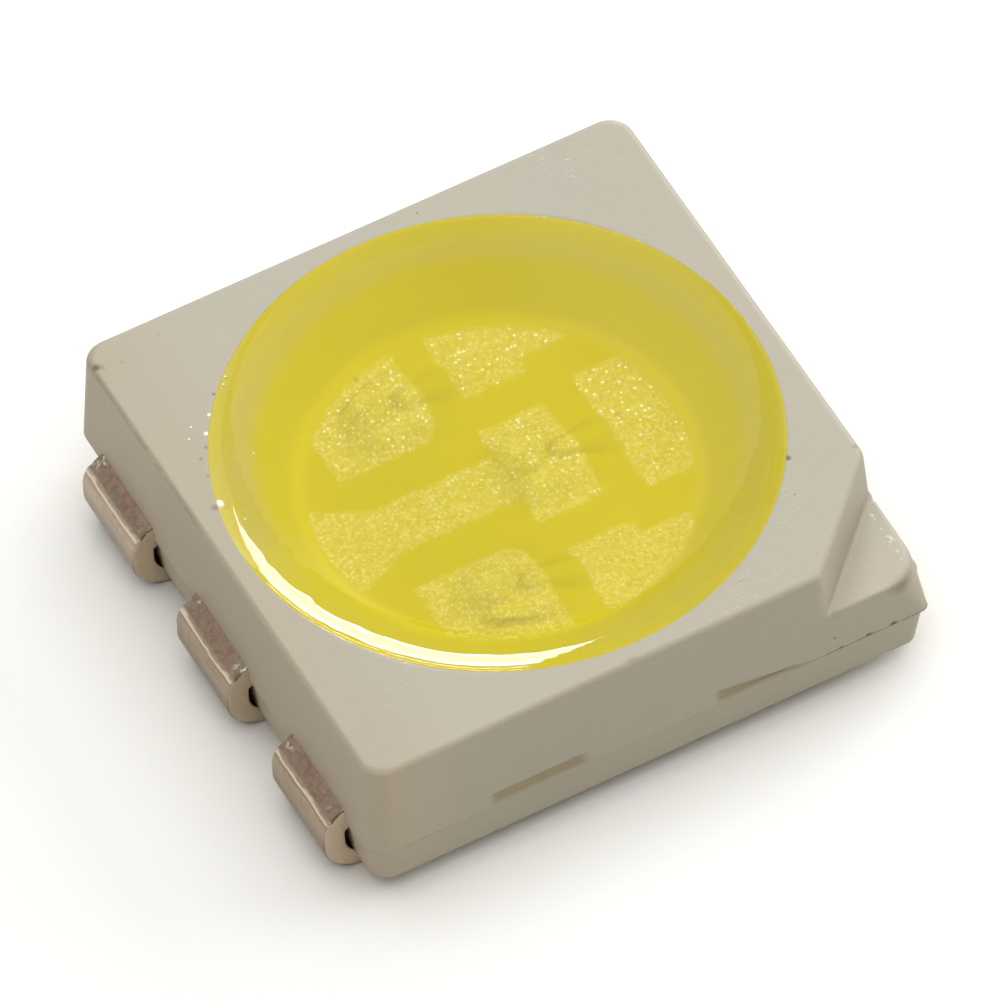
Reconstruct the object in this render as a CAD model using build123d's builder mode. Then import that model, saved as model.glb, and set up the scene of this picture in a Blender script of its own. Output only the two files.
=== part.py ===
import os
from math import hypot, radians, sqrt, tan

from build123d import *

# Surface-mount LED with six J-bent terminals and three dies under yellow silicone.
# Millimetres. The origin is on the solder plane, under the middle of the body; +Z is up.
# The terminals leave the body along X, and the cut corner is at +X, -Y.

# Moulded body
body_width = 5.0
body_length = 5.0
height = 1.6
side_draft = 3.0
corner_radius = 0.20
top_edge_radius = 0.04
standoff = 0.20

# Lower half of the body, below the parting line at the strip's underside.
# Its back left corner is rounded off much more than the others.
lower_inset = 0.02
lower_draft = 6.5
lower_corner_radius = 0.15
lower_back_left_radius = 0.80

# Cut corner that marks the polarity, with a ledge below it
corner_cut = 1.02
cut_draft = 10.0
ledge_height = 1.10
ledge_foot_radius = 0.08
ledge_corner_radius = 0.32
cut_edge_radius = 0.12

# Reflector cup and the silicone in it
cup_depth = 0.80
cup_radius = 2.28
cup_floor_radius = 1.58
meniscus_depth = 0.10
meniscus_width = 0.42

# Strip that the terminals are stamped from, and their J bends
strip_thickness = 0.16
lead_span = 5.38
lead_width = 0.88
lead_pitch = 1.60
shoulder_radius = 0.30
foot_radius = 0.39
foot_length = 0.88

# Cut ends of the tie bars that held the strip together
tie_bar_offset = 1.0
tie_bar_width = 0.82
tie_bar_recess = 0.04

# Pads in the cup floor. Distances are from the body's centre lines.
embedded_edge = 1.90
die_pad_inner = 0.17
die_pad_outer = 1.10
die_pad_front = 0.57
die_pad_chamfer = 0.17
bond_pad_inner = 0.14
bond_pad_width = 0.58
bond_pad_front = 0.86
bond_pad_step = 0.14
bond_pad_outer = 1.15
centre_pad_start = 0.08
centre_pad_width = 0.59
centre_pad_depth = 1.02
centre_arm_width = 0.47
centre_arm_end = 1.00
centre_wing_start = 1.50
centre_wing_depth = 0.94
right_pad_start = 1.00
right_pad_depth = 1.27

# Dies, the adhesive under them, and their gold wires
die_size = 0.35
die_thickness = 0.10
adhesive_thickness = 0.02
adhesive_margin = 0.03
wire_diameter = 0.03
ball_diameter = 0.08
ball_height = 0.02
contact_offset = 0.10
loop_height = 0.18
loop_bevel = 0.05
wire_foot_length = 0.09
wire_foot_width = 0.05
wire_foot_thickness = 0.014

# Places of the dies and of the wires' feet, in the back row and in the middle row.
# The front row is the back row's mirror image.
corner_die_x = -0.42
corner_die_wall_gap = 0.19
corner_own_foot_x = -0.84
corner_own_foot_y = 0.92
corner_far_foot_x = 0.32
corner_far_foot_y = 1.10
centre_die_x = 0.42
centre_own_foot_x = 0.04
centre_far_foot_x = 1.14

# Shallow round marks that the ejector pins leave in the underside
ejector_diameter = 0.70
ejector_spacing = 2.40
ejector_depth = 0.02

strip_top = height - cup_depth
strip_bottom = strip_top - strip_thickness
die_bottom = strip_top + adhesive_thickness
die_top = die_bottom + die_thickness
lead_reach = lead_span / 2
half_lead = lead_width / 2
tie_bar_end = body_length / 2 - tie_bar_recess
adhesive_size = die_size + 2 * adhesive_margin

# A corner die's adhesive keeps its distance from the cup's wall.
adhesive_corner_x = abs(corner_die_x) + adhesive_size / 2
adhesive_corner_radius = cup_floor_radius - corner_die_wall_gap
corner_die_y = sqrt(adhesive_corner_radius**2 - adhesive_corner_x**2) - adhesive_size / 2

# Both bends are no larger than the riser between the strip and the foot has room for.
shoulder_bend = shoulder_radius - strip_thickness / 2
foot_bend = foot_radius - strip_thickness / 2
bend_room = min(1.0, 0.95 * strip_bottom / (shoulder_bend + foot_bend))


def outer_lead_outline(inner_points, side, row):
    """Close a corner terminal's outline: its pad edge, then its shank and tie bar."""
    edge = lead_pitch + half_lead
    tie_inner = tie_bar_offset - tie_bar_width / 2
    tie_outer = tie_bar_offset + tie_bar_width / 2
    points = list(inner_points)
    points += [
        (embedded_edge, lead_pitch - half_lead),
        (embedded_edge, edge),
        (tie_outer, edge),
        (tie_outer, tie_bar_end),
        (tie_inner, tie_bar_end),
        (tie_inner, edge),
        (inner_points[0][0], edge),
    ]
    return [(side * x, row * y) for x, y in points]


def die_pad_outline(row):
    """Left corner terminal: a large pad that carries a die, with one chamfered corner."""
    points = [
        (die_pad_inner, die_pad_front + die_pad_chamfer),
        (die_pad_inner + die_pad_chamfer, die_pad_front),
        (die_pad_outer, die_pad_front),
        (die_pad_outer, lead_pitch - half_lead),
    ]
    return outer_lead_outline(points, -1, row)


def bond_pad_outline(row):
    """Right corner terminal: a small stepped pad that only takes a wire."""
    step = bond_pad_front + bond_pad_step
    points = [
        (bond_pad_inner, bond_pad_front),
        (bond_pad_inner + bond_pad_width, bond_pad_front),
        (bond_pad_inner + bond_pad_width, step),
        (bond_pad_outer, step),
        (bond_pad_outer, lead_pitch - half_lead),
    ]
    return outer_lead_outline(points, 1, row)


def mirrored(place):
    """The same place on the other side of the X axis."""
    return (place[0], -place[1])


def mirrored_outline(points):
    """Outline that is the same on both sides of the X axis, from its half at positive Y."""
    return points + [mirrored(place) for place in reversed(points)]


centre_lead_outline = mirrored_outline(
    [
        (centre_pad_start + centre_pad_width, centre_pad_depth / 2),
        (centre_pad_start, centre_pad_depth / 2),
        (centre_pad_start, centre_arm_width / 2),
        (-centre_arm_end, centre_arm_width / 2),
        (-centre_wing_start, centre_wing_depth / 2),
        (-embedded_edge, centre_wing_depth / 2),
    ]
)

right_lead_outline = mirrored_outline(
    [
        (embedded_edge, right_pad_depth / 2),
        (right_pad_start, right_pad_depth / 2),
    ]
)


def terminal(label, outline, side, row_y):
    """One stamped terminal: flat pad and shank, then the J bend outside the wall."""
    bend_plane = Plane(origin=(0, row_y, 0), x_dir=(side, 0, 0), z_dir=(0, -side, 0))
    middle = strip_thickness / 2
    with BuildPart() as lead:
        with BuildSketch(Plane.XY.offset(strip_bottom)):
            with BuildLine():
                Polyline(*outline, close=True)
            make_face()
        extrude(amount=strip_thickness)
        with BuildSketch(bend_plane):
            with BuildLine():
                FilletPolyline(
                    (embedded_edge - strip_thickness, strip_bottom + middle),
                    (lead_reach - middle, strip_bottom + middle),
                    (lead_reach - middle, middle),
                    (lead_reach - foot_length, middle),
                    radius=[shoulder_bend * bend_room, foot_bend * bend_room],
                )
            trace(line_width=strip_thickness)
        extrude(amount=half_lead, both=True)
    lead.part.label = label
    return lead


lead_1 = terminal("lead_1", die_pad_outline(1), -1, lead_pitch)
lead_2 = terminal("lead_2", centre_lead_outline, -1, 0)
lead_3 = terminal("lead_3", die_pad_outline(-1), -1, -lead_pitch)
lead_4 = terminal("lead_4", bond_pad_outline(-1), 1, -lead_pitch)
lead_5 = terminal("lead_5", right_lead_outline, 1, 0)
lead_6 = terminal("lead_6", bond_pad_outline(1), 1, lead_pitch)
leads = [lead_1, lead_2, lead_3, lead_4, lead_5, lead_6]


def bond_wire(label, contact, foot):
    """Gold wire: ball on the die, a kinked loop, and a flattened foot on the pad."""
    span_x = foot[0] - contact[0]
    span_y = foot[1] - contact[1]
    span = hypot(span_x, span_y)
    heading = (span_x / span, span_y / span, 0)
    side_plane = Plane(origin=(*contact, 0), x_dir=heading, z_dir=(heading[1], -heading[0], 0))
    wire_start = die_top + ball_height / 2
    loop_top = die_top + loop_height
    with BuildPart() as wire:
        with BuildLine(side_plane) as route:
            Polyline(
                (0, wire_start),
                (0, loop_top - loop_bevel),
                (loop_bevel, loop_top),
                (span, strip_top + wire_foot_thickness / 2),
            )
        with BuildSketch(Plane(origin=route.line @ 0, z_dir=route.line % 0)):
            Circle(wire_diameter / 2)
        sweep(path=route.line, transition=Transition.RIGHT)
        with BuildSketch(Plane.XY.offset(die_top)):
            with Locations(contact):
                Circle(ball_diameter / 2)
        extrude(amount=ball_height)
        foot_plane = Plane(origin=(*foot, strip_top), x_dir=heading, z_dir=(0, 0, 1))
        with BuildSketch(foot_plane):
            SlotOverall(wire_foot_length, wire_foot_width)
        extrude(amount=wire_foot_thickness)
        split(bisect_by=Plane.XY.offset(strip_top), keep=Keep.TOP)
    wire.part.label = label
    return wire


# Each die, and the places on the pads where its two wires end
back_row = [
    (corner_die_x, corner_die_y),
    (corner_own_foot_x, corner_own_foot_y),
    (corner_far_foot_x, corner_far_foot_y),
]
middle_row = [(centre_die_x, 0), (centre_own_foot_x, 0), (centre_far_foot_x, 0)]
front_row = [mirrored(place) for place in back_row]

dies = []
adhesives = []
wires = []
for number, row in enumerate([back_row, middle_row, front_row], start=1):
    place, own_foot, far_foot = row
    with BuildPart() as adhesive:
        with BuildSketch(Plane.XY.offset(strip_top)):
            with Locations(place):
                RectangleRounded(adhesive_size, adhesive_size, adhesive_margin)
        extrude(amount=adhesive_thickness)
    adhesive.part.label = f"die_attach_{number}"
    adhesives.append(adhesive)
    with BuildPart() as die:
        with BuildSketch(Plane.XY.offset(die_bottom)):
            with Locations(place):
                Rectangle(die_size, die_size)
        extrude(amount=die_thickness)
    die.part.label = f"led_chip_{number}"
    dies.append(die)
    near_contact = (place[0] - contact_offset, place[1])
    far_contact = (place[0] + contact_offset, place[1])
    wires.append(bond_wire(f"bond_wire_{number}a", near_contact, own_foot))
    wires.append(bond_wire(f"bond_wire_{number}b", far_contact, far_foot))

cut_direction = Axis((0, 0, 0), (1, -1, 0))


def body_outline(level, inset, back_left, side_corners, front_right):
    """Rounded outline of the body at a level, from its inset and its corners' radii."""
    with BuildSketch(Plane.XY.offset(level)) as outline:
        Rectangle(body_width - 2 * inset, body_length - 2 * inset)
        fillet(outline.vertices().sort_by(cut_direction)[1:3], side_corners)
        fillet(outline.vertices().sort_by(cut_direction)[0], back_left)
        fillet(outline.vertices().sort_by(cut_direction)[-1], front_right)
    return outline.sketch


# The upper half leans in from the parting line to the top. Below the ledge its cut corner
# grows rounder with height, as if it went on to the top.
upper_height = height - strip_bottom
top_inset = upper_height * tan(radians(side_draft))
ledge_share = (ledge_height - strip_bottom) / upper_height
cut_corner_radius = ledge_foot_radius + (ledge_corner_radius - ledge_foot_radius) / ledge_share
upper_outlines = [
    body_outline(strip_bottom, 0, corner_radius, corner_radius, ledge_foot_radius),
    body_outline(height, top_inset, corner_radius, corner_radius, cut_corner_radius),
]
bottom_inset = lower_inset + (strip_bottom - standoff) * tan(radians(lower_draft))
lower_outlines = [
    body_outline(level, inset, lower_back_left_radius, lower_corner_radius, lower_corner_radius)
    for level, inset in [(strip_bottom, lower_inset), (standoff, bottom_inset)]
]

# The cutter for the corner is larger than the corner itself by the height of the cut.
cut_height = height - ledge_height
cut_right = body_width / 2 + cut_height
cut_front = -body_length / 2 - cut_height

with BuildPart() as housing:
    loft(sections=upper_outlines, ruled=True)
    with BuildSketch(Plane.XY.offset(height)):
        with BuildLine():
            Polyline(
                (cut_right, cut_front + corner_cut + 2 * cut_height),
                (cut_right, cut_front),
                (cut_right - corner_cut - 2 * cut_height, cut_front),
                close=True,
            )
        make_face()
    extrude(amount=-cut_height, taper=cut_draft, mode=Mode.SUBTRACT)
    above_ledge = housing.edges().filter_by_position(
        Axis.Z, ledge_height + top_edge_radius, height - top_edge_radius
    )
    fillet(above_ledge.sort_by(cut_direction)[-2:], cut_edge_radius)
    fillet(housing.faces().sort_by(Axis.Z)[-1].outer_wire().edges(), top_edge_radius)
    loft(sections=lower_outlines, ruled=True)
    with BuildSketch(Plane.XY.offset(standoff)):
        with GridLocations(ejector_spacing, 0, 2, 1):
            Circle(ejector_diameter / 2)
    extrude(amount=ejector_depth, mode=Mode.SUBTRACT)
    with BuildSketch(Plane.XZ):
        with BuildLine():
            Polyline(
                (0, strip_top),
                (cup_floor_radius, strip_top),
                (cup_radius, height),
                (0, height),
                close=True,
            )
        make_face()
    revolve(axis=Axis.Z, mode=Mode.SUBTRACT)
    with BuildSketch(Plane.XY.offset(strip_bottom)):
        with GridLocations(2 * tie_bar_offset, 2 * (tie_bar_end + tie_bar_recess), 2, 2):
            Rectangle(tie_bar_width, 2 * tie_bar_recess)
    extrude(amount=strip_thickness, mode=Mode.SUBTRACT)
    for lead in leads:
        add(lead.part, mode=Mode.SUBTRACT)
housing.part.label = "housing"

with BuildPart() as encapsulant:
    with BuildSketch(Plane.XZ):
        with BuildLine():
            flat_edge = (cup_radius - meniscus_width, height - meniscus_depth)
            Line((0, height - meniscus_depth), flat_edge)
            TangentArc(flat_edge, (cup_radius, height), tangent=(1, 0))
            Polyline((cup_radius, height), (cup_floor_radius, strip_top), (0, strip_top))
            Line((0, strip_top), (0, height - meniscus_depth))
        make_face()
    revolve(axis=Axis.Z)
    for inner in adhesives + dies + wires:
        add(inner.part, mode=Mode.SUBTRACT)
encapsulant.part.label = "encapsulant"

os.makedirs("parts", exist_ok=True)
for piece in [housing, encapsulant] + leads + dies + adhesives + wires:
    export_step(piece.part, f"parts/{piece.part.label}.step")
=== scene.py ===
import math

import bmesh
import bpy
import numpy as np
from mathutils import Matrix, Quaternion, Vector, noise


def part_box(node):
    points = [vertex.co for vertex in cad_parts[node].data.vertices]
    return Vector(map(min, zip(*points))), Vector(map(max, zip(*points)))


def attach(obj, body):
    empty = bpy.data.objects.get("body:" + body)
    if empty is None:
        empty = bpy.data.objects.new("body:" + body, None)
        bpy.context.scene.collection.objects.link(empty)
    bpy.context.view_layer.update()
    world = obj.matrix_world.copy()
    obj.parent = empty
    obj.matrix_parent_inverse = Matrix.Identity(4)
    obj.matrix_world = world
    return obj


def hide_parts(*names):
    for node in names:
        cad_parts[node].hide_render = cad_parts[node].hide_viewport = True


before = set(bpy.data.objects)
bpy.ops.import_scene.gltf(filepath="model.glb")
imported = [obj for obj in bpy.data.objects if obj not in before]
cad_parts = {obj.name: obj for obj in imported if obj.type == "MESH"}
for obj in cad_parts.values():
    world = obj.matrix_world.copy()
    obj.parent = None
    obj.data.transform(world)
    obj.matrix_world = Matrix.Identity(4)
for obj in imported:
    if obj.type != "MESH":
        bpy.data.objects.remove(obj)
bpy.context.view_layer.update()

bl_info = {
    "name": "Surface-Mount LED",
    "version": (1, 0, 0),
    "blender": (4, 5, 0),
    "location": "View3D > Sidebar > LED",
    "description": "Builds the looks of a six-terminal surface-mount LED around its packed frame",
    "category": "Object",
}

MM = 0.001

body_low, body_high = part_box("housing")
gel_low, gel_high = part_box("encapsulant")
lead_low, lead_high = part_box("lead_1")


def length_property(name, description, millimetres):
    """A length in the settings, written in millimetres."""
    return bpy.props.FloatProperty(
        name=name, description=description, default=millimetres * MM, precision=6, unit="LENGTH")


def angle_property(name, description, degrees):
    """An angle in the settings, written in degrees."""
    return bpy.props.FloatProperty(
        name=name, description=description, default=math.radians(degrees), unit="ROTATION", subtype="ANGLE")


def colour_property(name, description, red, green, blue):
    """A colour in the settings, as linear light."""
    return bpy.props.FloatVectorProperty(
        name=name, description=description, default=(red, green, blue), size=3,
        subtype="COLOR", min=0, max=1)


class BodySizes(bpy.types.PropertyGroup):
    """Sizes of the moulded body. Its height and width come from the frame."""

    parting_height: length_property("Parting height", "Height of the mould's parting line", 0.64)
    draft: angle_property("Draft", "Lean of the upper walls", 3)
    corner_radius: length_property("Corner radius", "Radius of the upper half's corners", 0.20)
    top_edge: length_property("Top edge", "Rounding of the edge round the top face", 0.05)
    parting_step: length_property("Parting step", "Step back of the lower half at the parting line", 0.02)
    lower_inset: length_property("Lower inset", "Step back of the lower half at its bottom edge", 0.07)
    lower_edge: length_property("Lower edge", "Rounding of the lower half's bottom edge", 0.03)
    ledge_height: length_property("Ledge height", "Height of the ledge in the cut corner", 1.10)
    ledge_edge: length_property("Ledge edge", "Rounding of the ledge's front edge", 0.025)
    ledge_side_edge: length_property("Ledge side edge", "Rounding of the ledge's right edge", 0.055)
    corner_cut: length_property("Corner cut", "What the cut takes off each side at the top", 1.02)
    cut_draft: angle_property("Cut draft", "Lean of the diagonal wall", 5)
    cut_foot: length_property("Cut foot", "Radius of the hollow at the diagonal wall's foot", 0.035)
    slit_depth: length_property("Slit depth", "Depth of the slits over the cut tie bars", 0.03)


class CupSizes(bpy.types.PropertyGroup):
    """Sizes of the cup, the phosphor in it and the silicone's surface."""

    floor_radius: length_property("Floor radius", "Radius of the cup's floor", 1.58)
    meniscus_height: length_property("Meniscus height", "How far the silicone climbs at the rim", 0.10)
    meniscus_reach: length_property("Meniscus reach", "Distance over which the climb falls off", 0.15)
    film_thickness: length_property("Phosphor thickness", "Thickness of the settled phosphor", 0.018)


class LeadSizes(bpy.types.PropertyGroup):
    """Sizes of the bent terminals."""

    width: length_property("Width", "Width of each terminal outside the body", 0.88)
    pitch: length_property("Pitch", "Distance between neighbouring terminals", 1.60)
    thickness: length_property("Thickness", "Thickness of the strip", 0.16)
    shoulder_radius: length_property("Shoulder radius", "Outer radius of the upper bend", 0.30)
    foot_radius: length_property("Foot radius", "Outer radius of the lower bend", 0.39)
    right_setback: length_property("Right setback", "How much less the right-hand terminals reach out", 0.045)
    bend_thickening: length_property("Bend thickening", "Extra thickness inside the upper bend", 0.11)
    side_thickening: length_property("Side thickening", "Extra thickness of the upright part", 0.04)
    foot_length: length_property("Foot length", "Length of the foot under the body", 0.88)
    edge: length_property("Edge", "Rounding of the stamped edges", 0.028)
    ridge_height: length_property("Ridge height", "Height of the burr between shoulder and outer face", 0.66)


class Colours(bpy.types.PropertyGroup):
    """Colours of the finishes."""

    plastic: colour_property("Plastic", "The moulded body", 0.391, 0.355, 0.275)
    # Also the colour of the painted shadow under the big rim bead
    grime_and_shade: colour_property("Grime", "Dark specks and the dirt in the parting line", 0.10, 0.062, 0.025)
    tie_bar: colour_property("Tie bar", "The slits over the cut tie bars", 0.325, 0.255, 0.155)
    phosphor: colour_property("Phosphor", "Deep yellow between the pads", 0.600, 0.505, 0.006)
    pad: colour_property("Pad", "Yellow over the plated pads", 0.675, 0.575, 0.055)
    # Lighter than the phosphor's own colour: painted light on the cup's front and right wall
    near_wall_painted_light: colour_property("Near wall", "Phosphor on the cup's front wall", 0.650, 0.555, 0.035)
    haze: colour_property("Haze", "Hazy ring in the silicone's surface near the rim", 0.38, 0.36, 0.38)
    silver: colour_property("Silver", "Plated faces of the terminals", 0.31, 0.245, 0.178)
    copper: colour_property("Copper", "Scraped shoulders of the terminals", 0.265, 0.180, 0.140)
    cut_copper: colour_property("Cut copper", "Stamped end faces of the terminals", 0.585, 0.470, 0.330)
    gold: colour_property("Gold", "Bond wires, dusted with phosphor", 0.56, 0.47, 0.03)
    floor: colour_property("Floor", "The pale floor", 0.93, 0.93, 0.93)
    sky: colour_property("Sky", "Even light all round", 1.0, 0.90, 0.60)


class StageSettings(bpy.types.PropertyGroup):
    """The camera and the lights."""

    camera_azimuth: angle_property("Camera azimuth", "Turn of the camera round the part", -26.55)
    camera_elevation: angle_property("Camera elevation", "Height of the camera, as an angle", 52.34)
    camera_roll: angle_property("Camera roll", "Turn of the camera about its own axis", -2.58)
    camera_distance: length_property("Camera distance", "From the point that the camera looks at", 121.0)
    lens: bpy.props.FloatProperty(
        name="Lens", description="Focal length in millimetres", default=550.6, unit="CAMERA")
    sky: bpy.props.FloatProperty(
        name="Sky", description="Strength of the even light all round", default=0.155, min=0)


class Value:
    """A shader socket on which Python's operators add Math nodes."""

    def __init__(self, paint, socket):
        self.paint = paint
        self.socket = socket

    def math(self, operation, *operands):
        return self.paint.node("ShaderNodeMath", {"operation": operation}, dict(enumerate(operands)))

    def __add__(self, other):
        return self.math("ADD", self, other)

    def __sub__(self, other):
        return self.math("SUBTRACT", self, other)

    def __rsub__(self, other):
        return self.math("SUBTRACT", other, self)

    def __mul__(self, other):
        return self.math("MULTIPLY", self, other)

    def __abs__(self):
        return self.math("ABSOLUTE", self)

    __radd__ = __add__
    __rmul__ = __mul__


class Nodes:
    """A node tree, and the one method that adds a node of any kind to it."""

    def __init__(self, tree):
        self.tree = tree
        self.tree.nodes.clear()

    def node(self, kind, settings, values, output=0):
        """Any node: its type, its settings, and the values or links of its sockets."""
        made = self.tree.nodes.new(kind)
        for name, setting in settings.items():
            setattr(made, name, setting)
        for name, value in values.items():
            if isinstance(value, Value):
                self.tree.links.new(value.socket, made.inputs[name])
            else:
                made.inputs[name].default_value = value
        return Value(self, made.outputs[output]) if made.outputs else None


class Paint(Nodes):
    """A material and the methods that add nodes to it. Places in it are in millimetres."""

    def __init__(self, name):
        self.material = bpy.data.materials.new(name)
        self.material.use_nodes = True
        super().__init__(self.material.node_tree)
        metres = self.node("ShaderNodeTexCoord", {}, {}, "Object")
        self.place = self.node(
            "ShaderNodeVectorMath", {"operation": "SCALE"}, {"Vector": metres, "Scale": 1 / MM})
        split = self.node("ShaderNodeSeparateXYZ", {}, {"Vector": self.place})
        self.x, self.y, self.z = (Value(self, out) for out in split.socket.node.outputs)

    def ramp(self, value, low, high):
        """0 at low and 1 at high, smooth between them. Low may be above high."""
        return self.node(
            "ShaderNodeMapRange", {"interpolation_type": "SMOOTHSTEP"},
            {"Value": value, "From Min": low, "From Max": high})

    def between(self, value, low, high, soft):
        """1 between low and high, with edges that are soft on both sides."""
        return self.ramp(value, low - soft, low + soft) * self.ramp(value, high + soft, high - soft)

    def larger(self, first, *others):
        for other in others:
            first = first.math("MAXIMUM", first, other)
        return first

    def zigzag(self, value, reach):
        """Up and down between 0 and reach."""
        return value.math("PINGPONG", value, reach)

    def grain(self, scale, detail=2.0, roughness=0.5, place=None):
        """Noise from 0 to 1, with about scale lumps in a millimetre."""
        return self.node(
            "ShaderNodeTexNoise", {},
            {"Vector": place or self.place, "Scale": scale, "Detail": detail, "Roughness": roughness})

    def patches(self, low, high, scale, detail=2.0, roughness=0.5, place=None):
        """Noise, sharpened to 0 below low and 1 above high."""
        return self.ramp(self.grain(scale, detail, roughness, place), low, high)

    def stretched(self, x, y, z):
        """The place, scaled along each axis, for streaks."""
        return self.node(
            "ShaderNodeVectorMath", {"operation": "MULTIPLY"}, {0: self.place, 1: (x, y, z)})

    def from_axis(self):
        """Distance from the cup's axis."""
        flat = self.stretched(1, 1, 0)
        return self.node("ShaderNodeVectorMath", {"operation": "LENGTH"}, {0: flat}, "Value")

    def cells(self, scale):
        """Random number for each cell of a mosaic, and the distance from the cell's middle."""
        distance = self.node("ShaderNodeTexVoronoi", {}, {"Vector": self.place, "Scale": scale})
        colour = Value(self, distance.socket.node.outputs["Color"])
        chance = self.node("ShaderNodeSeparateColor", {}, {"Color": colour})
        return chance, distance

    def spot(self, place, radius, soft=0.5):
        """1 within radius of a place, and soft outside it."""
        away = self.node(
            "ShaderNodeVectorMath", {"operation": "DISTANCE"}, {0: self.place, 1: place}, "Value")
        return self.ramp(away, radius * (1 + soft), radius * (1 - soft))

    def mix(self, factor, first, second):
        """From the first colour to the second."""
        values = {0: factor, 6: opaque(first), 7: opaque(second)}
        return self.node("ShaderNodeMix", {"data_type": "RGBA"}, values, 2)

    def shaded(self, factor, colour, dark, light):
        """A colour, from dark times itself to light times itself."""
        return self.mix(factor, [c * dark for c in colour], [c * light for c in colour])

    def tint(self, factor, colour, shade):
        """A colour, multiplied by shade where factor is 1."""
        values = {0: factor, 6: opaque(colour), 7: opaque(shade)}
        return self.node("ShaderNodeMix", {"data_type": "RGBA", "blend_type": "MULTIPLY"}, values, 2)

    def bump(self, height, depth, normal=None):
        """Normal of a relief that is depth millimetres deep."""
        values = {"Height": height, "Distance": depth * MM, "Strength": 1.0}
        if normal:
            values["Normal"] = normal
        return self.node("ShaderNodeBump", {}, values)

    def upward(self):
        """Mostly the upward direction: the glow of light that spreads inside a soft layer."""
        facing = self.node("ShaderNodeNewGeometry", {}, {}, "Normal")
        lean = {0: facing, 1: (0.1, 0.1, 0.1), 2: (0, 0, 0.9)}
        flattened = self.node("ShaderNodeVectorMath", {"operation": "MULTIPLY_ADD"}, lean)
        return self.node("ShaderNodeVectorMath", {"operation": "NORMALIZE"}, {0: flattened})

    def principled(self, **values):
        titles = {name: name.replace("_", " ").title().replace("Ior", "IOR") for name in values}
        named = {titles[name]: opaque(value) for name, value in values.items()}
        return self.node("ShaderNodeBsdfPrincipled", {}, named)

    def finish(self, shader):
        self.node("ShaderNodeOutputMaterial", {}, {"Surface": shader})
        return self.material


def opaque(colour):
    """A colour of three numbers with its alpha, and anything else as it is."""
    if isinstance(colour, Value) or not hasattr(colour, "__len__"):
        return colour
    return (*colour, 1.0) if len(colour) == 3 else colour


def settings():
    return bpy.context.scene.led


def smooth(values, low, high):
    """0 at low and 1 at high, smooth between them, for arrays."""
    share = np.clip((values - low) / (high - low), 0, 1)
    return share * share * (3 - 2 * share)


def rough(points, scale, seed):
    """Noise from -1 to 1 at each point, with about scale lumps in a millimetre."""
    shift = Vector((seed, 2 * seed, 3 * seed))
    return np.array([noise.noise(Vector(p) * scale / MM + shift) for p in points])


def ways(angles):
    """Unit directions at these angles, one in each row."""
    return np.stack([np.cos(angles), np.sin(angles)], axis=-1)


def put(name, data):
    """A new object in the scene."""
    made = bpy.data.objects.new(name, data)
    bpy.context.scene.collection.objects.link(made)
    return made


def add_piece(name, mesh, material, replaced):
    """Make a mesh a piece of the part, with its finish."""
    mesh.materials.clear()
    mesh.materials.append(material)
    piece = put(name, mesh)
    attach(piece, "root")
    if replaced:
        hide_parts(*replaced)


def face_outward(mesh):
    """Turn every face of a closed mesh outward."""
    edit = bmesh.new()
    edit.from_mesh(mesh)
    bmesh.ops.recalc_face_normals(edit, faces=edit.faces)
    edit.to_mesh(mesh)
    edit.free()


def build(name, rings, material, replaced):
    """A closed piece from rings of as many points each, the first and last closed to a point."""
    rings = np.asarray(rings, float)
    count, around = rings.shape[:2]
    points = rings.reshape(-1, 3)
    low = np.arange(count - 1)[:, None] * around
    along = np.arange(around)
    after = (along + 1) % around
    quads = np.stack([low + along, low + after, low + around + after, low + around + along], axis=-1)
    faces = quads.reshape(-1, 4).tolist()
    first_middle, last_middle = len(points), len(points) + 1
    points = np.vstack([points, rings[0].mean(0), rings[-1].mean(0)])
    top = (count - 1) * around
    for step in range(around):
        turn = (step + 1) % around
        faces.append((first_middle, turn, step))
        faces.append((last_middle, top + step, top + turn))
    mesh = bpy.data.meshes.new(name)
    mesh.from_pydata(points.tolist(), [], faces)
    face_outward(mesh)
    mesh.shade_smooth()
    add_piece(name, mesh, material, replaced)


# Front left, front right, back right and back left corner of the body
CORNERS = [(-1, -1), (1, -1), (1, 1), (-1, 1)]
CORNER_STEPS = 40
SIDE_STEPS = 120


def outline(half, radii):
    """Points round a rounded square, anticlockwise from its front left corner."""
    points = []
    for number, (side_x, side_y) in enumerate(CORNERS):
        radius, next_radius = radii[number], radii[(number + 1) % 4]
        next_x, next_y = CORNERS[(number + 1) % 4]
        turn = math.pi + number * math.pi / 2
        angles = turn + np.arange(CORNER_STEPS) / CORNER_STEPS * math.pi / 2
        centre = np.array([side_x, side_y]) * (half - radius)
        points.append(centre + radius * ways(angles))
        next_centre = np.array([next_x, next_y]) * (half - next_radius)
        way = ways(turn + math.pi / 2)
        leave, arrive = centre + radius * way, next_centre + next_radius * way
        share = (np.arange(SIDE_STEPS) / SIDE_STEPS)[:, None]
        points.append(leave + share * (arrive - leave))
    return np.vstack(points)


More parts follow.
